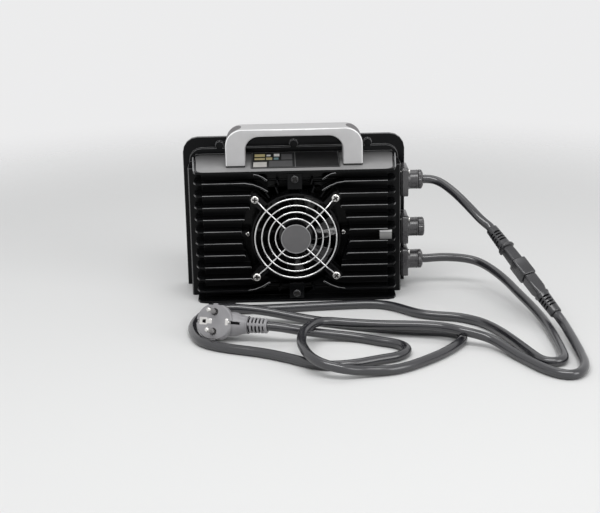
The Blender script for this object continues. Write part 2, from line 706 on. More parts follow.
def make_housing(make):
    """The die-cast housing: finned front, side boxes, rear rim and flange, hollow from the back."""
    mid = FAN_CENTRE.z
    over = BODY_HEIGHT + PANEL_STOCK

    def core(bm):
        box(bm, (-CORE_HALF, ROOT_Y, 0), (CORE_HALF, FLANGE_Y + LAP, over))

    housing = make.part("housing", core, "black_paint", 35)
    make.join(housing, housing_fins)
    lower_lip = plan_outline(BODY_WIDTH / 2, SIDE_BOX_Y + LAP, CORNER_RADIUS)
    make.join(housing, lambda bm: extrude(bm, lower_lip, "Z", 0, LIP_THICK))
    upper_lip = plan_outline(BODY_WIDTH / 2, FLANGE_Y + LAP, CORNER_RADIUS)
    make.join(housing, lambda bm: extrude(bm, upper_lip, "Z", BODY_HEIGHT - LIP_THICK, over))

    def slope(bm):
        box(bm, (-BODY_WIDTH, -PANEL_DEPTH, 0), (BODY_WIDTH, 2 * PANEL_DEPTH, over), panel_place(FRONT_Y))

    make.cut(housing, slope)

    def side_boxes(bm):
        depth = SIDE_BOX_DEPTH + LAP
        outline = rounded_rectangle(SIDE_BOX_WIDTH, depth, SIDE_BOX_RADIUS, 2, (0, SIDE_BOX_Y + depth / 2),
                                    (1, 0, 0, 1))
        extrude(bm, outline, "Z", 0, SIDE_BOX_HEIGHT)

    make.join(housing, side_boxes)
    make.join(housing, lambda bm: extrude(bm, arch(SIDE_BOX_WIDTH / 2, RIM_HEIGHT, RIM_RADIUS), "Y",
                                          FLANGE_Y - RIM_DEPTH, FLANGE_Y + LAP))
    make.join(housing, lambda bm: extrude(bm, arch(FLANGE_WIDTH / 2, FLANGE_HEIGHT, FLANGE_RADIUS), "Y",
                                          FLANGE_Y, FLANGE_BACK_Y))

    def cover_bosses(bm):
        for x, z in cover_screw_places()[:3]:
            extrude(bm, circle(COVER_BOSS_RADIUS, POST_SIDES, (x, z)), "Y", FLANGE_Y - COVER_BOSS_DEPTH,
                    FLANGE_Y + LAP)

    make.join(housing, cover_bosses)

    def pocket_round(bm):
        extrude(bm, fan_circle(POCKET_RADIUS), "Y", FRONT_Y - LAP, POCKET_Y)

    def pocket_square(bm):
        extrude(bm, fan_square(POCKET_SQUARE, POCKET_SQUARE_RADIUS), "Y", FRONT_Y - LAP, POCKET_Y)

    def lane(bm):
        top = BODY_HEIGHT - LIP_THICK - LANE_MARGIN
        low = LIP_THICK + LANE_MARGIN
        for z_low, z_high in ((mid + POCKET_SQUARE / 2 - LAP, top), (low, mid - POCKET_SQUARE / 2 + LAP)):
            box(bm, (-SWEPT_FIN_START, FRONT_Y - LAP, z_low), (SWEPT_FIN_START, ROOT_Y - SKIN, z_high))

    make.cut(housing, pocket_round)
    make.cut(housing, pocket_square)
    make.cut(housing, lane)
    make.join(housing, lambda bm: swept_fins(bm, False))
    make.join(housing, lambda bm: swept_fins(bm, True))
    make.join(housing, vanes)

    def posts(bm):
        seat = FRONT_Y + FAN_THICK + GAP
        for x, z in fan_corners():
            extrude(bm, circle(POST_RADIUS, POST_SIDES, (x, z)), "Y", seat, POCKET_Y + LAP)
        for sign in (-1, 1):
            low, high = sorted((mid + sign * PAD_INNER, mid + sign * PAD_OUTER))
            box(bm, (-PAD_WIDTH / 2, FRONT_Y + PAD_SETBACK, low), (PAD_WIDTH / 2, POCKET_Y + LAP, high))
            near, far = sorted((sign * EAR_OFFSET, sign * (POCKET_RADIUS + LAP)))
            box(bm, (near, FRONT_Y + EAR_SETBACK, mid - EAR_RADIUS), (far, POCKET_Y + LAP, mid + EAR_RADIUS))

    make.join(housing, posts)

    def ears(bm):
        for sign in (-1, 1):
            outline = circle(EAR_RADIUS, SMALL_ROUND_SIDES, (sign * EAR_OFFSET, mid))
            extrude(bm, outline, "Y", FRONT_Y + EAR_SETBACK, POCKET_Y + LAP)

    make.join(housing, ears)
    hollow_housing(make, housing)
    drill_housing(make, housing)


def hollow_housing(make, housing):
    """Cuts the cavity from the back, leaving a wall round the fan's pocket."""
    back = FLANGE_BACK_Y + LAP

    def main_cavity(bm):
        top = panel_height(ROOT_Y) - WALL
        outline = rounded_rectangle(2 * CAVITY_CORE_HALF, top - WALL, CAVITY_RADIUS, 2,
                                    (0, (top + WALL) / 2))
        extrude(bm, outline, "Y", ROOT_Y + WALL, back)

    def dome(bm):
        extrude(bm, fan_circle(POCKET_RADIUS + WALL), "Y", ROOT_Y, POCKET_Y + WALL)

    def dome_square(bm):
        extrude(bm, fan_square(POCKET_SQUARE + 2 * WALL, POCKET_SQUARE_RADIUS + WALL), "Y", ROOT_Y,
                POCKET_Y + WALL)

    cavity = make.tool(main_cavity)
    make.boolean(cavity, make.tool(dome), "DIFFERENCE")
    make.boolean(cavity, make.tool(dome_square), "DIFFERENCE")
    make.boolean(housing, cavity, "DIFFERENCE")

    def side_cavity(bm):
        top = SIDE_BOX_HEIGHT - WALL
        outline = rounded_rectangle(2 * CAVITY_SIDE_HALF, top - WALL, CAVITY_RADIUS, 2,
                                    (0, (top + WALL) / 2))
        extrude(bm, outline, "Y", SIDE_BOX_Y + SIDE_CAVITY_SETBACK, back)

    side = make.tool(side_cavity)
    make.boolean(side, make.tool(dome), "DIFFERENCE")
    make.boolean(side, make.tool(dome_square), "DIFFERENCE")
    make.boolean(housing, side, "DIFFERENCE")

    def board_posts_fill(bm):
        for x, z in board_posts():
            extrude(bm, circle(STANDOFF_RADIUS, POST_SIDES, (x, z)), "Y", ROOT_Y + WALL - LAP, BOARD_Y - GAP)

    make.join(housing, board_posts_fill)


def drill_housing(make, housing):
    """Cuts the screw holes, the port holes and the status window's hole."""
    mid = FAN_CENTRE.z

    def front_holes(bm):
        for x, z in fan_corners():
            extrude(bm, circle(HOLE_RADIUS, HOLE_SIDES, (x, z)), "Y", FRONT_Y, POCKET_Y - LAP + WALL / 2)
        for sign in (-1, 1):
            extrude(bm, circle(HOLE_RADIUS, HOLE_SIDES, (0, mid + sign * PAD_SCREW_OFFSET)), "Y", FRONT_Y,
                    FRONT_Y + PAD_SETBACK + SCREW_BITE + LAP)
            extrude(bm, circle(SMALL_HOLE_RADIUS, HOLE_SIDES, (sign * EAR_OFFSET, mid)), "Y", FRONT_Y,
                    FRONT_Y + EAR_SETBACK + SCREW_BITE + LAP)

    def cover_holes(bm):
        for x, z in cover_screw_places():
            extrude(bm, circle(SMALL_HOLE_RADIUS, HOLE_SIDES, (x, z)), "Y",
                    FLANGE_Y + FLANGE_THICK - SCREW_BITE / 2 - LAP,
                    FLANGE_BACK_Y + LAP)

    def port_holes(bm):
        for z in PORT_HEIGHTS:
            spigot = circle(PORT_SPIGOT_RADIUS + GAP, SMALL_ROUND_SIDES, (PORT_Y, z))
            extrude(bm, spigot, "X", PORT_SPIGOT_X, PORT_X + LAP)
            for y, dz in port_screws():
                hole = circle(SMALL_HOLE_RADIUS, HOLE_SIDES, (y, z + dz))
                extrude(bm, hole, "X", PORT_X - PORT_SCREW_BITE - LAP, PORT_X + LAP)

    def window_hole(bm):
        low, high = window_span()
        start = WINDOW_CENTRE - WINDOW_WIDTH / 2 + WINDOW_STEM_INSET
        box(bm, (start, ROOT_Y - LAP, low + WINDOW_STEM_INSET),
            (start + WINDOW_STEM_WIDTH, ROOT_Y + WALL + LAP, high - WINDOW_STEM_INSET))

    def handle_holes(bm):
        for sign in (-1, 1):
            x = sign * handle_leg_x()
            place = panel_place(handle_y()) @ Matrix.Translation((x, 0, 0))
            extrude(bm, circle(HOLE_RADIUS, HOLE_SIDES), "Z", -WALL - SCREW_BITE, WALL, place)

    make.cut(housing, front_holes)
    make.cut(housing, cover_holes)
    make.cut(housing, port_holes)
    make.cut(housing, window_hole)
    make.cut(housing, handle_holes)


def port_screws():
    """The places, in Y and from the port's centre in Z, of each port's two screws."""
    return [(PORT_Y - PORT_SCREW_Y, PORT_SCREW_Z), (PORT_Y + PORT_SCREW_Y, -PORT_SCREW_Z)]


def window_span():
    """Lower and upper level of the space between the two fins that hold the status window."""
    upper = BODY_HEIGHT - FIN_PITCH * WINDOW_SLOT - FIN_THICK / 2
    return upper - FIN_PITCH + FIN_THICK, upper


def handle_leg_x():
    """Distance of each handle leg's middle from the centre plane."""
    return HANDLE_SPAN / 2 - HANDLE_LEG / 2


def handle_y():
    """Depth of the handle's middle."""
    return FRONT_Y + HANDLE_SETBACK + HANDLE_DEPTH / 2


def make_screw(make, name, at, direction, head_radius, head_height, shank_radius, bite, crossed=False):
    """A pan-head screw, plain or with a cross recess; direction points out of the head."""
    place = along(direction, at)
    crown = head_radius * SCREW_CROWN
    shoulder = [(head_radius, head_height * SCREW_SHOULDER)] if crossed else []
    profile = [(0, head_height), (crown, head_height)] + shoulder
    profile += [(head_radius, 0), (shank_radius, 0), (shank_radius, -bite), (0, -bite)]
    screw = make.lathe(name, profile, "steel", place, SCREW_SIDES if crossed else SMALL_SCREW_SIDES)
    if not crossed:
        return
    reach = head_radius * SCREW_CROSS_REACH
    deep = head_height - SCREW_CROSS_DEPTH
    half = SCREW_CROSS_WIDTH / 2
    make.cut(screw, lambda bm: box(bm, (-reach, -half, deep), (reach, half, head_height + LAP), place))
    make.cut(screw, lambda bm: box(bm, (-half, -reach, deep), (half, reach, head_height + LAP), place))


def make_cover(make):
    """The flat back cover, its gasket and its screws."""
    half = FLANGE_WIDTH / 2 - COVER_INSET
    top = FLANGE_HEIGHT - COVER_INSET

    def plate(bm):
        extrude(bm, arch(half, top, FLANGE_RADIUS - COVER_INSET), "Y", COVER_Y, COVER_Y + COVER_THICK)

    cover = make.part("back_cover", plate, "black_paint", 35)

    def holes(bm):
        for x, z in cover_screw_places():
            extrude(bm, circle(SMALL_HOLE_RADIUS, HOLE_SIDES, (x, z)), "Y", COVER_Y - LAP,
                    COVER_Y + COVER_THICK + LAP)

    make.cut(cover, holes)

    def lower_edge(bm):
        box(bm, (-FLANGE_WIDTH, COVER_Y - LAP, -LAP),
            (FLANGE_WIDTH, COVER_Y + COVER_THICK + LAP, COVER_INSET))

    make.cut(cover, lower_edge)
    inner_half = CAVITY_SIDE_HALF + GASKET_MARGIN / 2
    inner_top = panel_height(ROOT_Y) - WALL + GASKET_MARGIN

    def ring(bm):
        outer = rounded_rectangle(2 * (half - GASKET_MARGIN), top - 3 * GASKET_MARGIN,
                                  FLANGE_RADIUS - 2 * COVER_INSET, 3, (0, (top + GASKET_MARGIN) / 2),
                                  (0, 1, 1, 0))
        extrude(bm, outer, "Y", FLANGE_BACK_Y + GAP, COVER_Y - GAP)

    gasket = make.part("cover_gasket", ring, "rubber")

    def opening(bm):
        low = WALL - GASKET_MARGIN / 2
        outline = rounded_rectangle(2 * inner_half, inner_top - low, CAVITY_RADIUS, 2,
                                    (0, (inner_top + low) / 2))
        extrude(bm, outline, "Y", FLANGE_BACK_Y - LAP, COVER_Y + LAP)

    make.cut(gasket, opening)
    make.cut(gasket, holes_through(cover_screw_places(), SMALL_HOLE_RADIUS, FLANGE_BACK_Y - LAP,
                                   COVER_Y + LAP))
    for index, (x, z) in enumerate(cover_screw_places(), 1):
        make_screw(make, f"cover_screw_{index}", (x, COVER_Y + COVER_THICK + GAP, z), (0, 1, 0),
                   SMALL_HEAD_RADIUS,
                   SMALL_HEAD_HEIGHT, SMALL_SHANK_RADIUS, COVER_THICK + GASKET_THICK + SCREW_BITE / 2)


def holes_through(places, radius, low, high):
    """Round holes along Y at the given places."""
    def fill(bm):
        for x, z in places:
            extrude(bm, circle(radius, HOLE_SIDES, (x, z)), "Y", low, high)
    return fill


def make_fan_frame(make):
    """The fan's round frame with its lugs, its struts and the base that carries the motor."""
    mid = FAN_CENTRE.z
    back = FRONT_Y + FAN_THICK

    frame = make.part("fan_frame", lambda bm: extrude(bm, fan_circle(FAN_RING_RADIUS), "Y", FRONT_Y, back),
                      "black_plastic", 35)
    reach = FAN_HOLE * math.sqrt(2)

    def lug(angle, low, high):
        def fill(bm):
            end = reach + FAN_LUG_RADIUS
            root = FAN_DUCT_RADIUS - FAN_LUG_RADIUS
            outline = rounded_rectangle(end - root, 2 * FAN_LUG_RADIUS, FAN_LUG_RADIUS, 2,
                                        ((end + root) / 2, 0),
                                        (1, 1, 0, 0))
            turned = [(x * math.cos(angle) - y * math.sin(angle),
                       mid + x * math.sin(angle) + y * math.cos(angle))
                      for x, y in outline]
            extrude(bm, turned, "Y", low, high)
        return fill

    for index in range(4):
        angle = math.radians(45 + 90 * index)
        make.join(frame, lug(angle, FRONT_Y, FRONT_Y + FAN_LUG_THICK))
        make.join(frame, lug(angle, back - FAN_LUG_THICK, back))
    make.cut(frame, lambda bm: extrude(bm, fan_circle(FAN_DUCT_RADIUS), "Y", FRONT_Y - LAP, back + LAP))

    def struts(bm):
        for index in range(FAN_STRUTS):
            angle = 2 * math.pi * index / FAN_STRUTS
            reaches = (FAN_BASE_RADIUS - LAP, FAN_DUCT_RADIUS + LAP)
            ends = [(r * math.cos(angle), mid + r * math.sin(angle)) for r in reaches]
            extrude(bm, strip(ends, FAN_STRUT_WIDTH), "Y", back - FAN_BASE_THICK, back)

    make.join(frame, lambda bm: extrude(bm, fan_circle(FAN_BASE_RADIUS, BARREL_SIDES), "Y",
                                        back - FAN_BASE_THICK,
                                        back))
    make.join(frame, struts)
    tube_front = FRONT_Y + FAN_HUB_SETBACK + FAN_TUBE_SETBACK
    tube_back = back - FAN_BASE_THICK + LAP
    bore = fan_circle(FAN_BEARING_RADIUS + GAP, SMALL_ROUND_SIDES)
    make.join(frame, lambda bm: extrude(bm, fan_circle(FAN_TUBE_RADIUS, SMALL_ROUND_SIDES), "Y", tube_front,
                                        tube_back))
    make.cut(frame, lambda bm: extrude(bm, bore, "Y", FRONT_Y, tube_back))
    make.cut(frame, holes_through(fan_corners(), HOLE_RADIUS, FRONT_Y - LAP, back + LAP))


def fan_blade(index):
    """One swept, twisted blade as a closed loft between its root and its tip sections."""
    root = FAN_HUB_RADIUS - LAP
    tip = FAN_DUCT_RADIUS - FAN_TIP_CLEARANCE

    def fill(bm):
        rings = []
        for section in range(BLADE_SECTIONS):
            share = section / (BLADE_SECTIONS - 1)
            radius = root + (tip - root) * share
            pitch = math.radians(BLADE_ROOT_PITCH - BLADE_TWIST * share)
            chord = BLADE_CHORD + BLADE_FLARE * share
            lead = math.radians(BLADE_SWEEP) * share
            thick = BLADE_THICK - BLADE_TAPER * share
            ring = []
            for side in (1, -1):
                for step in range(BLADE_STEPS + 1):
                    t = side * (step / BLADE_STEPS - 0.5)
                    camber = BLADE_CAMBER * (1 - 4 * t * t)
                    across = t * chord * math.cos(pitch) - (camber + side * thick / 2) * math.sin(pitch)
                    deep = t * chord * math.sin(pitch) + (camber + side * thick / 2) * math.cos(pitch)
                    angle = 2 * math.pi * index / FAN_BLADES + lead + across / radius
                    y = FAN_HUB_LENGTH / 2 + deep
                    ring.append(bm.verts.new((radius * math.cos(angle), y, radius * math.sin(angle))))
            rings.append(ring)
        count = len(rings[0])
        for lower, upper in zip(rings, rings[1:]):
            for i in range(count):
                j = (i + 1) % count
                bm.faces.new((lower[i], lower[j], upper[j], upper[i]))
        bm.faces.new(rings[0][::-1])
        bm.faces.new(rings[-1])
    return fill


def make_fan_rotor(make):
    """The turning hub with its blades and its shaft; its origin is on the spin axis."""
    front = FRONT_Y + FAN_HUB_SETBACK
    at = Vector((0, front, FAN_CENTRE.z))
    wall = FAN_HUB_WALL
    depth = FAN_HUB_LENGTH
    inner = FAN_HUB_RADIUS - wall
    shaft_end = FRONT_Y + FAN_THICK - FAN_BASE_THICK - front
    profile = [(0, 0), (FAN_HUB_RADIUS - HUB_EDGE, 0), (FAN_HUB_RADIUS, -HUB_EDGE), (FAN_HUB_RADIUS, -depth),
               (inner, -depth), (inner, -wall), (FAN_SHAFT_RADIUS, -wall), (FAN_SHAFT_RADIUS, -shaft_end),
               (0, -shaft_end)]
    rotor = make.lathe("fan_rotor", profile, "black_plastic", along((0, -1, 0), at), BARREL_SIDES)
    for index in range(FAN_BLADES):
        tool = make.tool(fan_blade(index))
        tool.data.transform(Matrix.Translation(at))
        make.boolean(rotor, tool, "UNION")


def make_fan_motor(make):
    """The stator inside the hub and the bearing on its tube."""
    front = FRONT_Y + FAN_HUB_SETBACK + FAN_HUB_WALL
    start = front + STATOR_SETBACK
    mid = FAN_CENTRE.z
    stator = make.part("fan_stator", lambda bm: extrude(bm, fan_circle(STATOR_RADIUS, BARREL_SIDES), "Y",
                                                        start,
                                                        start + STATOR_LENGTH), "copper", 35)

    def slots(bm):
        for index in range(STATOR_TEETH):
            angle = math.pi / STATOR_TEETH + 2 * math.pi * index / STATOR_TEETH
            reaches = (STATOR_SLOT_FROM * STATOR_RADIUS, STATOR_SLOT_TO * STATOR_RADIUS)
            ends = [(r * math.cos(angle), mid + r * math.sin(angle)) for r in reaches]
            extrude(bm, strip(ends, STATOR_SLOT), "Y", start - LAP, start + STATOR_LENGTH + LAP)

    make.cut(stator, slots)
    bore = fan_circle(FAN_TUBE_RADIUS + GAP, SMALL_ROUND_SIDES)
    make.cut(stator, lambda bm: extrude(bm, bore, "Y", start - LAP, start + STATOR_LENGTH + LAP))
    low = FRONT_Y + FAN_HUB_SETBACK + FAN_BEARING_SETBACK
    high = FRONT_Y + FAN_THICK - FAN_BASE_THICK - LAP
    sleeve = fan_circle(FAN_BEARING_RADIUS, SMALL_ROUND_SIDES)
    bearing = make.part("fan_bearing", lambda bm: extrude(bm, sleeve, "Y", low, high), "brass", 35)
    hole = fan_circle(FAN_SHAFT_RADIUS + GAP, SMALL_ROUND_SIDES)
    make.cut(bearing, lambda bm: extrude(bm, hole, "Y", low - LAP, high + LAP))


def guard_plane():
    """Depth of the guard's rings and spokes."""
    return FRONT_Y - GUARD_STANDOFF


def make_guard(make):
    """The wire guard: round rings on four spokes, each spoke ending in an eye under a screw."""
    mid = FAN_CENTRE.z
    plane = guard_plane()
    eye_low = FRONT_Y - GAP - GUARD_EYE_THICK
    reach = FAN_HOLE * math.sqrt(2)
    ring_steps = GUARD_FACET_COUNT
    wire = GUARD_WIRE_RADIUS

    wire_turn = 2 * math.pi / GUARD_WIRE_SIDES

    def torus(radius):
        angles = [math.pi / 2 - wire_turn * index for index in range(GUARD_WIRE_SIDES + 1)]
        return [(radius + wire * math.cos(a), wire * math.sin(a)) for a in angles]

    place = along((0, -1, 0), (0, plane, mid))
    radii = [GUARD_RADIUS - GUARD_RING_PITCH * index for index in range(GUARD_RINGS)]
    guard = make.turned("fan_guard", torus(radii[0]), place, ring_steps, make.parts, "steel", 40)
    for radius in radii[1:]:
        make.boolean(guard, make.turned_tool(torus(radius), place, ring_steps), "UNION")

    def spoke(angle):
        def fill(bm):
            knots = [(GUARD_SPOKE_INNER, plane), (GUARD_RADIUS + GUARD_RING_INSET, plane),
                     (reach - GUARD_EYE_RADIUS - LAP, eye_low + GUARD_EYE_THICK / 2),
                     (reach - GUARD_EYE_RADIUS + LAP, eye_low + GUARD_EYE_THICK / 2)]
            rings = []
            for index, (r, y) in enumerate(knots):
                before = knots[max(0, index - 1)]
                after = knots[min(len(knots) - 1, index + 1)]
                slope = Vector((after[0] - before[0], after[1] - before[1])).normalized()
                ring = []
                for side in range(GUARD_WIRE_SIDES):
                    across = wire * GUARD_SPOKE_SHARE * math.cos(wire_turn * side)
                    lift = wire * GUARD_SPOKE_SHARE * math.sin(wire_turn * side)
                    radial = r - slope.y * lift
                    depth = y + slope.x * lift
                    x = radial * math.cos(angle) - across * math.sin(angle)
                    z = mid + radial * math.sin(angle) + across * math.cos(angle)
                    ring.append(bm.verts.new((x, depth, z)))
                rings.append(ring)
            for lower, upper in zip(rings, rings[1:]):
                for i in range(GUARD_WIRE_SIDES):
                    j = (i + 1) % GUARD_WIRE_SIDES
                    bm.faces.new((lower[i], lower[j], upper[j], upper[i]))
            bm.faces.new(rings[0][::-1])
            bm.faces.new(rings[-1])
        return fill

    for index in range(4):
        make.join(guard, spoke(math.radians(45 + 90 * index)))

    def eyes(bm):
        for x, z in fan_corners():
            extrude(bm, circle(GUARD_EYE_RADIUS, SMALL_ROUND_SIDES, (x, z)), "Y", eye_low,
                    eye_low + GUARD_EYE_THICK)

    make.join(guard, eyes)
    make.cut(guard, holes_through(fan_corners(), HOLE_RADIUS, eye_low - LAP, FRONT_Y + LAP))
    badge_back = plane - wire - GAP
    profile = [(0, BADGE_THICK), (BADGE_RADIUS - BADGE_EDGE, BADGE_THICK),
               (BADGE_RADIUS, BADGE_THICK - BADGE_EDGE),
               (BADGE_RADIUS, 0), (0, 0)]
    make.lathe("guard_badge", profile, "badge_grey", along((0, -1, 0), (0, badge_back, mid)), DUCT_SIDES)
    names = ("upper_left", "lower_left", "upper_right", "lower_right")
    for name, (x, z) in zip(names, fan_corners()):
        bite = FAN_THICK + GUARD_EYE_THICK + 2 * GAP + GUARD_SCREW_BITE
        make_screw(make, f"guard_screw_{name}", (x, eye_low - GAP, z), (0, -1, 0), SCREW_HEAD_RADIUS,
                   SCREW_HEAD_HEIGHT, SCREW_SHANK_RADIUS, bite, True)


def make_front_screws(make):
    """The four screws in the housing's front: two on pads and two on the ears beside the fan."""
    mid = FAN_CENTRE.z
    for name, sign in (("upper", 1), ("lower", -1)):
        at = (0, FRONT_Y + PAD_SETBACK - GAP, mid + sign * PAD_SCREW_OFFSET)
        make_screw(make, f"front_screw_{name}", at, (0, -1, 0), SCREW_HEAD_RADIUS, SCREW_HEAD_HEIGHT,
                   SCREW_SHANK_RADIUS, SCREW_BITE, True)
    for name, sign in (("left", -1), ("right", 1)):
        at = (sign * EAR_OFFSET, FRONT_Y + EAR_SETBACK - GAP, mid)
        make_screw(make, f"front_screw_{name}", at, (0, -1, 0), SMALL_HEAD_RADIUS, SMALL_HEAD_HEIGHT,
                   SMALL_SHANK_RADIUS, SCREW_BITE)


def make_handle(make):
    """The cast handle, its two pads and the screws that hold it from inside."""
    low_y = FRONT_Y + HANDLE_SETBACK
    base = BODY_HEIGHT - HANDLE_STOCK
    seat = HANDLE_PAD_THICK + 2 * GAP

    def outer(bm):
        height = HANDLE_TOP - base
        outline = rounded_rectangle(HANDLE_SPAN, height, HANDLE_OUTER_RADIUS, HANDLE_STEPS,
                                    (0, base + height / 2),
                                    (0, 1, 1, 0))
        extrude(bm, outline, "Y", low_y, low_y + HANDLE_DEPTH)

    handle = make.part("handle", outer, "silver", 35)

    def gap(bm):
        low = base - HANDLE_STOCK
        height = HANDLE_TOP - HANDLE_BAR - low
        width = HANDLE_SPAN - 2 * HANDLE_LEG
        outline = rounded_rectangle(width, height, HANDLE_INNER_RADIUS, HANDLE_STEPS, (0, low + height / 2),
                                    (0, 1, 1, 0))
        extrude(bm, outline, "Y", low_y - LAP, low_y + HANDLE_DEPTH + LAP)

    make.cut(handle, gap)
    make.cut(handle, lambda bm: box(bm, (-HANDLE_SPAN, -PANEL_DEPTH, -HANDLE_TOP),
                                    (HANDLE_SPAN, PANEL_DEPTH, seat),
                                    panel_place(handle_y())))
    bevel = handle.modifiers.new("edges", "BEVEL")
    bevel.width = HANDLE_EDGE
    bevel.segments = 2
    bevel.limit_method = "ANGLE"
    bevel.angle_limit = math.radians(50)
    for name, sign in (("left", -1), ("right", 1)):
        x = sign * handle_leg_x()
        place = panel_place(handle_y()) @ Matrix.Translation((x, 0, 0))

        def pad_shape(bm, place=place):
            outline = rounded_rectangle(HANDLE_LEG, HANDLE_DEPTH, HANDLE_EDGE, 2)
            extrude(bm, outline, "Z", GAP, GAP + HANDLE_PAD_THICK, place)

        def hole(bm, place=place):
            extrude(bm, circle(HOLE_RADIUS, HOLE_SIDES), "Z", -LAP, seat + SCREW_BITE + LAP, place)

        pad = make.part(f"handle_pad_{name}", pad_shape, "rubber")
        make.cut(pad, hole)
        make.cut(handle, hole)
        head = place @ Vector((0, 0, -WALL - GAP - HANDLE_SCREW_SETBACK))
        down = place.to_3x3() @ Vector((0, 0, -1))
        make_screw(make, f"handle_screw_{name}", head, down, SCREW_HEAD_RADIUS, SCREW_HEAD_HEIGHT,
                   SCREW_SHANK_RADIUS, WALL + seat + SCREW_BITE)


def make_label(make):
    """The blank rating label on the top panel."""
    y = FRONT_Y + LABEL_SETBACK + LABEL_DEPTH / 2
    place = panel_place(y)

    def plate(bm):
        outline = rounded_rectangle(LABEL_WIDTH, LABEL_DEPTH, LABEL_RADIUS, 2, (LABEL_CENTRE, 0))
        extrude(bm, outline, "Z", GAP, GAP + LABEL_THICK, place)

    make.part("rating_label", plate, "panel_grey")


def make_window(make):
    """The status light's window, a light pipe between two fins."""
    low, high = window_span()
    half = WINDOW_WIDTH / 2

    def head(bm):
        box(bm, (WINDOW_CENTRE - half, FRONT_Y + WINDOW_SETBACK, low + GAP),
            (WINDOW_CENTRE + half, ROOT_Y - GAP, high - GAP))

    window = make.part("status_window", head, "window_white")

    def stem(bm):
        inset = WINDOW_STEM_INSET + GAP
        start = WINDOW_CENTRE - half + inset
        box(bm, (start, ROOT_Y - GAP - LAP, low + inset),
            (start + WINDOW_STEM_WIDTH - 2 * GAP, ROOT_Y + WALL + WINDOW_INSIDE, high - inset))

    make.join(window, stem)


def make_port(make, name, z, capped):
    """A flanged round cable port with its gasket, screws and nut, or its cap."""
    plate_x = PORT_PLATE_X

    def plate(bm):
        outline = rounded_rectangle(PORT_PLATE_DEPTH, PORT_PLATE_HEIGHT, PORT_PLATE_RADIUS, 2, (PORT_Y, z))
        extrude(bm, outline, "X", plate_x, plate_x + PORT_PLATE_THICK)

    body = make.part(f"{name}_body", plate, "black_plastic", 35)
    barrel = circle(PORT_BARREL_RADIUS, BARREL_SIDES, (PORT_Y, z))
    make.join(body, lambda bm: extrude(bm, barrel, "X", plate_x + LAP, PORT_FACE_X + PORT_BARREL_LENGTH))
    spigot = circle(PORT_SPIGOT_RADIUS, SMALL_ROUND_SIDES, (PORT_Y, z))
    make.join(body, lambda bm: extrude(bm, spigot, "X", PORT_SPIGOT_X, plate_x + LAP))

    def screw_holes(bm):
        for y, dz in port_screws():
            extrude(bm, circle(SMALL_HOLE_RADIUS, HOLE_SIDES, (y, z + dz)), "X", plate_x - LAP,
                    PORT_FACE_X + LAP)

    make.cut(body, screw_holes)

    def gasket_ring(bm):
        outline = rounded_rectangle(PORT_PLATE_DEPTH - GASKET_MARGIN, PORT_PLATE_HEIGHT - GASKET_MARGIN,
                                    PORT_PLATE_RADIUS, 2, (PORT_Y, z))
        extrude(bm, outline, "X", PORT_X + GAP, PORT_X + GAP + PORT_GASKET_THICK)

    gasket = make.part(f"{name}_gasket", gasket_ring, "rubber")

    def gasket_holes(bm):
        low, high = PORT_X - LAP, PORT_PLATE_X + LAP
        extrude(bm, circle(PORT_SPIGOT_RADIUS + GAP, SMALL_ROUND_SIDES, (PORT_Y, z)), "X", low, high)
        for y, dz in port_screws():
            extrude(bm, circle(SMALL_HOLE_RADIUS, HOLE_SIDES, (y, z + dz)), "X", low, high)

    make.cut(gasket, gasket_holes)
    for index, (y, dz) in enumerate(port_screws(), 1):
        make_screw(make, f"{name}_screw_{index}", (PORT_FACE_X + GAP, y, z + dz), (1, 0, 0),
                   SMALL_HEAD_RADIUS,
                   SMALL_HEAD_HEIGHT, SMALL_SHANK_RADIUS,
                   PORT_PLATE_THICK + PORT_GASKET_THICK + 3 * GAP + PORT_SCREW_BITE)
    place = along((1, 0, 0), (PORT_NUT_X, PORT_Y, z))
    if capped:
        profile = [(0, CAP_LENGTH), (NUT_RADIUS - CAP_EDGE, CAP_LENGTH), (NUT_RADIUS, CAP_LENGTH - CAP_EDGE),
                   (NUT_RADIUS, 0), (0, 0)]
        make.lathe(f"{name}_cap", profile, "black_plastic", place, BARREL_SIDES)
        return
    mouth = LEAD_RADIUS + LEAD_CLEARANCE
    profile = [(0, NUT_LENGTH - NUT_MOUTH), (mouth, NUT_LENGTH - NUT_MOUTH), (mouth, NUT_LENGTH),
               (NUT_RADIUS - NUT_FACE_INSET, NUT_LENGTH), (NUT_RADIUS, NUT_LENGTH - NUT_EDGE),
               (NUT_RADIUS, 0),
               (0, 0)]
    make.lathe(f"{name}_nut", profile, "black_plastic", place, BARREL_SIDES)


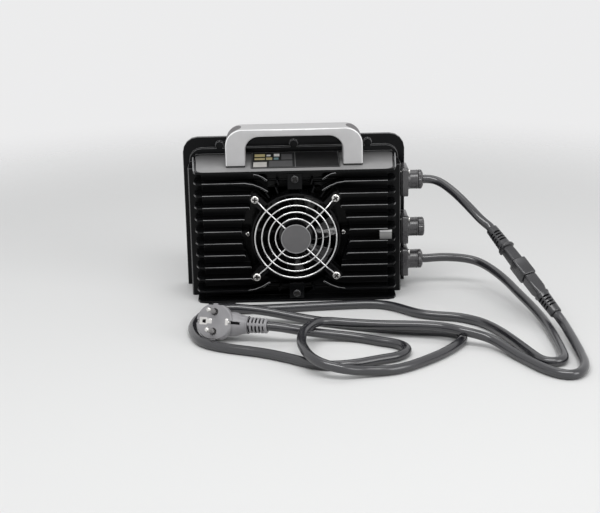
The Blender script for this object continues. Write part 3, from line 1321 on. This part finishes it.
def make_inside(make):
    """The board and the main parts on it, inside the housing."""
    half, low, high = board_span()

    def board_shape(bm):
        extrude(bm, rounded_rectangle(2 * half, high - low, BOARD_RADIUS, 1, (0, (low + high) / 2)), "Y",
                BOARD_Y,
                BOARD_Y + BOARD_THICK)

    make.part("main_board", board_shape, "board_green")
    face = BOARD_Y - GAP
    width, depth, height = TRANSFORMER_SIZE
    centre_x, centre_z = TRANSFORMER_X, BODY_HEIGHT / 2 + TRANSFORMER_RISE
    core = make.part("transformer_core", lambda bm: box(
        bm, (centre_x - width / 2, face - depth, centre_z - height / 2),
        (centre_x + width / 2, face, centre_z + height / 2)), "ferrite")
    wind_width, wind_height = WINDING_SIZE

    def winding_room(bm):
        for z_low, z_high in ((centre_z + wind_height / 4, centre_z + wind_height / 2 + GAP),
                              (centre_z - wind_height / 2 - GAP, centre_z - wind_height / 4)):
            box(bm, (centre_x - wind_width / 2 - GAP, face - depth - LAP, z_low),
                (centre_x + wind_width / 2 + GAP, face + LAP, z_high))

    make.cut(core, winding_room)
    winding = make.part("transformer_winding", lambda bm: box(
        bm, (centre_x - wind_width / 2, face - depth - WINDING_PROUD, centre_z - wind_height / 2),
        (centre_x + wind_width / 2, face - WINDING_PROUD, centre_z + wind_height / 2)), "copper")
    make.cut(winding, lambda bm: box(
        bm, (centre_x - wind_width, face - depth - GAP, centre_z - wind_height / 4 - GAP),
        (centre_x + wind_width, face + LAP, centre_z + wind_height / 4 + GAP)))
    for index, side in enumerate((-1, 1), 1):
        z = BODY_HEIGHT / 2 + side * CAPACITOR_PITCH / 2
        profile = [(0, CAPACITOR_LENGTH), (CAPACITOR_RADIUS, CAPACITOR_LENGTH), (CAPACITOR_RADIUS, 0),
                   (0, 0)]
        make.lathe(f"bulk_capacitor_{index}", profile, "capacitor",
                   along((0, -1, 0), (-CAPACITOR_X, face, z)),
                   BARREL_SIDES)


def smooth_path(points, first, last, step):
    """Evenly spaced points of a smooth curve through the route's points, with set end directions."""
    knots = [Vector(p) for p in points]
    knots = [knots[1] - 2 * first * (knots[1] - knots[0]).length] + knots
    knots = knots + [knots[-2] + 2 * last * (knots[-1] - knots[-2]).length]
    dense = []
    for i in range(1, len(knots) - 2):
        p0, p1, p2, p3 = knots[i - 1:i + 3]
        for substep in range(LEAD_SUBSTEPS):
            t = substep / LEAD_SUBSTEPS
            dense.append(0.5 * (2 * p1 + (p2 - p0) * t + (2 * p0 - 5 * p1 + 4 * p2 - p3) * t ** 2
                                + (3 * p1 - p0 - 3 * p2 + p3) * t ** 3))
    dense.append(knots[-2])
    lengths = [0.0]
    for a, b in zip(dense, dense[1:]):
        lengths.append(lengths[-1] + (b - a).length)
    total = lengths[-1]
    count = max(2, round(total / step))
    result = []
    at = 0
    for i in range(count + 1):
        goal = total * i / count
        while at < len(lengths) - 2 and lengths[at + 1] < goal:
            at += 1
        span = lengths[at + 1] - lengths[at] or 1.0
        point = dense[at].lerp(dense[at + 1], min(1.0, (goal - lengths[at]) / span))
        point.z = max(point.z, LEAD_RADIUS + LEAD_LIFT)
        result.append(point)
    return result


def make_lead(make, name, start, first, route, end, last, step=LEAD_STEP):
    """A round cable along its route, straight where it enters what holds it."""
    begin = Vector(start)
    stop = Vector(end)
    points = [begin + first * LEAD_STRAIGHT] + [Vector(p) * MM
                                                for p in route] + [stop - last * LEAD_STRAIGHT]
    path = [begin] + smooth_path(points, first, last, step) + [stop]
    curve = bpy.data.curves.new(name, "CURVE")
    curve.dimensions = "3D"
    curve.bevel_depth = LEAD_RADIUS
    curve.bevel_resolution = LEAD_FACET_COUNT
    curve.use_fill_caps = True
    spline = curve.splines.new("POLY")
    spline.points.add(len(path) - 1)
    for slot, point in zip(spline.points, path):
        slot.co = (*point, 1)
    curve.materials.append(material("cord_grey"))
    make.parts.objects.link(bpy.data.objects.new(name, curve))


def inline_frame():
    """Matrix of the inline connector's axis: Z along it, from the charger towards the plug."""
    axis = (INLINE_END - INLINE_START).normalized()
    side = axis.cross(Vector((0, 0, 1))).normalized()
    up = side.cross(axis)
    turn = Matrix((side, up, axis)).transposed().to_4x4()
    return Matrix.Translation(INLINE_START) @ turn @ Matrix.Rotation(INLINE_ROLL, 4, "Z")


def relief_profile(length, wide_end, thin_end):
    """A tapered strain relief along Z, its wide end at z = length, with a bore at its thin end."""
    bore = LEAD_RADIUS + LEAD_CLEARANCE
    return [(0, length), (wide_end, length), (thin_end, 0), (bore, 0), (bore, NUT_MOUTH), (0, NUT_MOUTH)]


def relief_slots(place, centre):
    """Slots across a strain relief, on both of its sides."""
    def fill(bm):
        half = RELIEF_CUT_WIDTH / 2
        for index in range(RELIEF_SLOTS):
            low = centre + (index - (RELIEF_SLOTS - 1) / 2) * RELIEF_SLOT_PITCH - RELIEF_SLOT_WIDTH / 2
            for side in (-1, 1):
                near, far = sorted((side * RELIEF_SLOT_FLOOR, side * RELIEF_CUT))
                box(bm, (-half, near, low), (half, far, low + RELIEF_SLOT_WIDTH), place)
    return fill


def make_inline_connector(make):
    """The two moulded halves that join the charger's lead to the mains cord."""
    place = inline_frame()
    total = (INLINE_END - INLINE_START).length
    relief = INLINE_RELIEF_LENGTH
    seam = relief + INLINE_SOCKET_LENGTH
    wide_from = seam - INLINE_SOCKET_WIDE

    def section(size, low, high):
        outline = rounded_rectangle(size[0], size[1], INLINE_EDGE, 2)
        return lambda bm: extrude(bm, outline, "Z", low, high, place)

    neck = section(INLINE_NECK_SIZE, relief - INLINE_LAP, wide_from + LAP)
    socket = make.part("inline_socket", neck, "cord_grey", 35)
    make.join(socket, section(INLINE_SOCKET_SIZE, wide_from, seam))
    sleeve = relief_profile(relief, RELIEF_RADIUS, RELIEF_END_RADIUS)
    make.boolean(socket, make.turned_tool(sleeve, place, RELIEF_SIDES), "UNION")
    make.cut(socket, relief_slots(place, relief / 2 + RELIEF_SLOT_SHIFT))
    body = section(INLINE_PLUG_SIZE, seam + GAP, total - relief + INLINE_LAP)
    plug = make.part("inline_plug", body, "cord_grey", 35)
    far = place @ Matrix.Translation((0, 0, total)) @ Matrix.Rotation(math.pi, 4, "X")
    make.boolean(plug, make.turned_tool(sleeve, far, RELIEF_SIDES), "UNION")
    make.cut(plug, relief_slots(far, relief / 2 + RELIEF_SLOT_SHIFT))


def plug_frame():
    """Matrix of the mains plug: X along its cable, Y into its back, Z up its face."""
    inward = -PLUG_FACE_NORMAL.normalized()
    up = PLUG_CABLE_AXIS.cross(inward).normalized()
    return Matrix.Translation(PLUG_FACE_CENTRE) @ Matrix((inward.cross(up), inward,
                                                          up)).transposed().to_4x4()


def make_mains_plug(make):
    """A round earthed two-pin plug whose cable leaves to the side."""
    frame = plug_frame()
    turn = frame @ along((0, -1, 0))
    profile = [(0, 0), (PLUG_RADIUS - PLUG_EDGE, 0), (PLUG_RADIUS, -PLUG_EDGE), (PLUG_RADIUS, -PLUG_RIM),
               (PLUG_RADIUS - PLUG_SHOULDER_DRAW, -PLUG_RIM - PLUG_SHOULDER),
               (PLUG_BACK_RADIUS + PLUG_BACK_FLARE, -PLUG_DEPTH + PLUG_BACK_EDGE),
               (PLUG_BACK_RADIUS, -PLUG_DEPTH),
               (0, -PLUG_DEPTH)]
    body = make.lathe("mains_plug_body", profile, "plug_grey", turn, DUCT_SIDES)

    def flats(bm):
        for side in (-1, 1):
            near, far_z = sorted((side * PLUG_FLAT, side * (PLUG_RADIUS + LAP)))
            box(bm, (-PLUG_RADIUS, -LAP, near), (PLUG_RADIUS, PLUG_DEPTH, far_z), frame)

    make.cut(body, flats)
    cable = frame @ along((1, 0, 0), (0, PLUG_CABLE_SETBACK, 0))
    neck_end = PLUG_RELIEF_START + PLUG_NECK_LAP
    neck = [(0, neck_end), (PLUG_NECK_RADIUS - PLUG_NECK_TAPER, neck_end),
            (PLUG_NECK_RADIUS, PLUG_NECK_START),
            (0, PLUG_NECK_START)]
    make.boolean(body, make.turned_tool(neck, cable, BARREL_SIDES), "UNION")
    length = PLUG_RELIEF_END - PLUG_RELIEF_START + PLUG_RELIEF_LAP
    far = frame @ along((-1, 0, 0), (PLUG_RELIEF_END, PLUG_CABLE_SETBACK, 0))
    sleeve = relief_profile(length, PLUG_RELIEF_RADIUS, PLUG_RELIEF_END_RADIUS)
    make.boolean(body, make.turned_tool(sleeve, far, RELIEF_SIDES), "UNION")

    def ribs(bm):
        reach = PLUG_FLAT + PLUG_RIB_HEIGHT
        box(bm, (-PLUG_RIB_WIDTH / 2, PLUG_RIB_SETBACK, -reach), (PLUG_RIB_WIDTH / 2, PLUG_RIB_DEPTH, reach),
            frame)

    make.join(body, ribs)

    def slots(bm):
        for index in range(PLUG_RELIEF_SLOTS):
            x = PLUG_RELIEF_START + PLUG_RELIEF_LAP + (index + 0.5) * RELIEF_SLOT_PITCH
            for side in (-1, 1):
                z_low, z_high = sorted((side * PLUG_RELIEF_SPINE, side * RELIEF_CUT))
                box(bm, (x - RELIEF_SLOT_WIDTH / 2, PLUG_CABLE_SETBACK - RELIEF_CUT, z_low),
                    (x + RELIEF_SLOT_WIDTH / 2, PLUG_CABLE_SETBACK - PLUG_SLOT_FLOOR, z_high), frame)

    make.cut(body, slots)

    def sockets(bm):
        for side in (-1, 1):
            place = frame @ Matrix.Translation((0, 0, side * PLUG_PIN_SPACING / 2))
            extrude(bm, circle(PLUG_PIN_RADIUS + GAP, SMALL_ROUND_SIDES), "Y", -LAP, PLUG_PIN_ROOT + GAP,
                    place)
        place = frame @ Matrix.Translation((-PLUG_EARTH_HOLE_OFFSET, 0, 0))
        extrude(bm, circle(PLUG_EARTH_HOLE_RADIUS, SMALL_ROUND_SIDES), "Y", -LAP, PLUG_EARTH_HOLE_DEPTH,
                place)

    make.cut(body, sockets)
    half = PLUG_CLIP_WIDTH / 2

    def clip_room(bm):
        for side in (-1, 1):
            near, far_x = sorted((side * (PLUG_RADIUS - PLUG_CLIP_THICK - 2 * GAP),
                                  side * (PLUG_RADIUS + LAP)))
            box(bm, (near, -LAP, -half - GAP), (far_x, PLUG_CLIP_REACH + GAP, half + GAP), frame)

    make.cut(body, clip_room)
    for name, side in (("upper", 1), ("lower", -1)):
        place = frame @ along((0, -1, 0), (0, 0, side * PLUG_PIN_SPACING / 2))
        profile = [(0, PLUG_PIN_LENGTH), (PLUG_PIN_RADIUS * PLUG_PIN_TIP, PLUG_PIN_LENGTH),
                   (PLUG_PIN_RADIUS, PLUG_PIN_LENGTH - PLUG_PIN_TIP_LENGTH),
                   (PLUG_PIN_RADIUS, -PLUG_PIN_ROOT),
                   (0, -PLUG_PIN_ROOT)]
        make.lathe(f"mains_pin_{name}", profile, "steel", place, SMALL_ROUND_SIDES)
    for name, side in (("left", -1), ("right", 1)):
        def clip(bm, side=side):
            near, far_x = sorted((side * (PLUG_RADIUS - PLUG_CLIP_THICK - GAP), side * (PLUG_RADIUS - GAP)))
            box(bm, (near, PLUG_CLIP_SETBACK, -half), (far_x, PLUG_CLIP_REACH, half), frame)
        make.part(f"earth_clip_{name}", clip, "steel")
    return frame @ Vector((PLUG_RELIEF_END, PLUG_CABLE_SETBACK, 0))


def make_leads(make, plug_exit):
    """The charger's mains lead, the mains cord and the output lead."""
    bore = NUT_MOUTH - GAP
    out = Vector((1, 0, 0))
    axis = (INLINE_END - INLINE_START).normalized()
    into_plug = plug_frame().to_3x3() @ -out
    ac_start = (LEAD_EXIT_X - bore, PORT_Y, PORT_HEIGHTS[0])
    make_lead(make, "ac_lead", ac_start, out, AC_LEAD_ROUTE, INLINE_START + axis * bore, axis,
              SHORT_LEAD_STEP)
    make_lead(make, "mains_cord", INLINE_END - axis * bore, axis, MAINS_CORD_ROUTE,
              plug_exit + into_plug * bore,
              into_plug)
    dc_start = (LEAD_EXIT_X - bore, PORT_Y, PORT_HEIGHTS[2])
    make_lead(make, "dc_lead", dc_start, out, DC_LEAD_ROUTE, DC_CONNECTOR_AT + Vector((GAP, 0, 0)), -out)


def make_dc_connector(make):
    """The two-pole connector at the far end of the output lead."""
    length, width, height = DC_CONNECTOR_SIZE
    x = DC_CONNECTOR_AT.x
    y = DC_CONNECTOR_AT.y
    outline = rounded_rectangle(width, height, DC_CONNECTOR_EDGE, 2, (y, height / 2 + GAP))
    connector = make.part("dc_connector", lambda bm: extrude(bm, outline, "X", x - length, x), "cord_grey",
                          35)

    def sockets(bm):
        for side in (-1, 1):
            outline = circle(DC_SOCKET_RADIUS, SMALL_ROUND_SIDES, (y + side * width / 4, height / 2 + GAP))
            extrude(bm, outline, "X", x - length - LAP, x - length / 2)

    make.cut(connector, sockets)


def main():
    """Builds the charger."""
    clear_scene()
    make = Builder()
    make_housing(make)
    make_cover(make)
    make_fan_frame(make)
    make_fan_rotor(make)
    make_fan_motor(make)
    make_guard(make)
    make_front_screws(make)
    make_handle(make)
    make_label(make)
    make_window(make)
    make_port(make, "ac_port", PORT_HEIGHTS[0], False)
    make_port(make, "spare_port", PORT_HEIGHTS[1], True)
    make_port(make, "dc_port", PORT_HEIGHTS[2], False)
    make_inside(make)
    make_inline_connector(make)
    plug_exit = make_mains_plug(make)
    make_leads(make, plug_exit)
    make_dc_connector(make)


main()
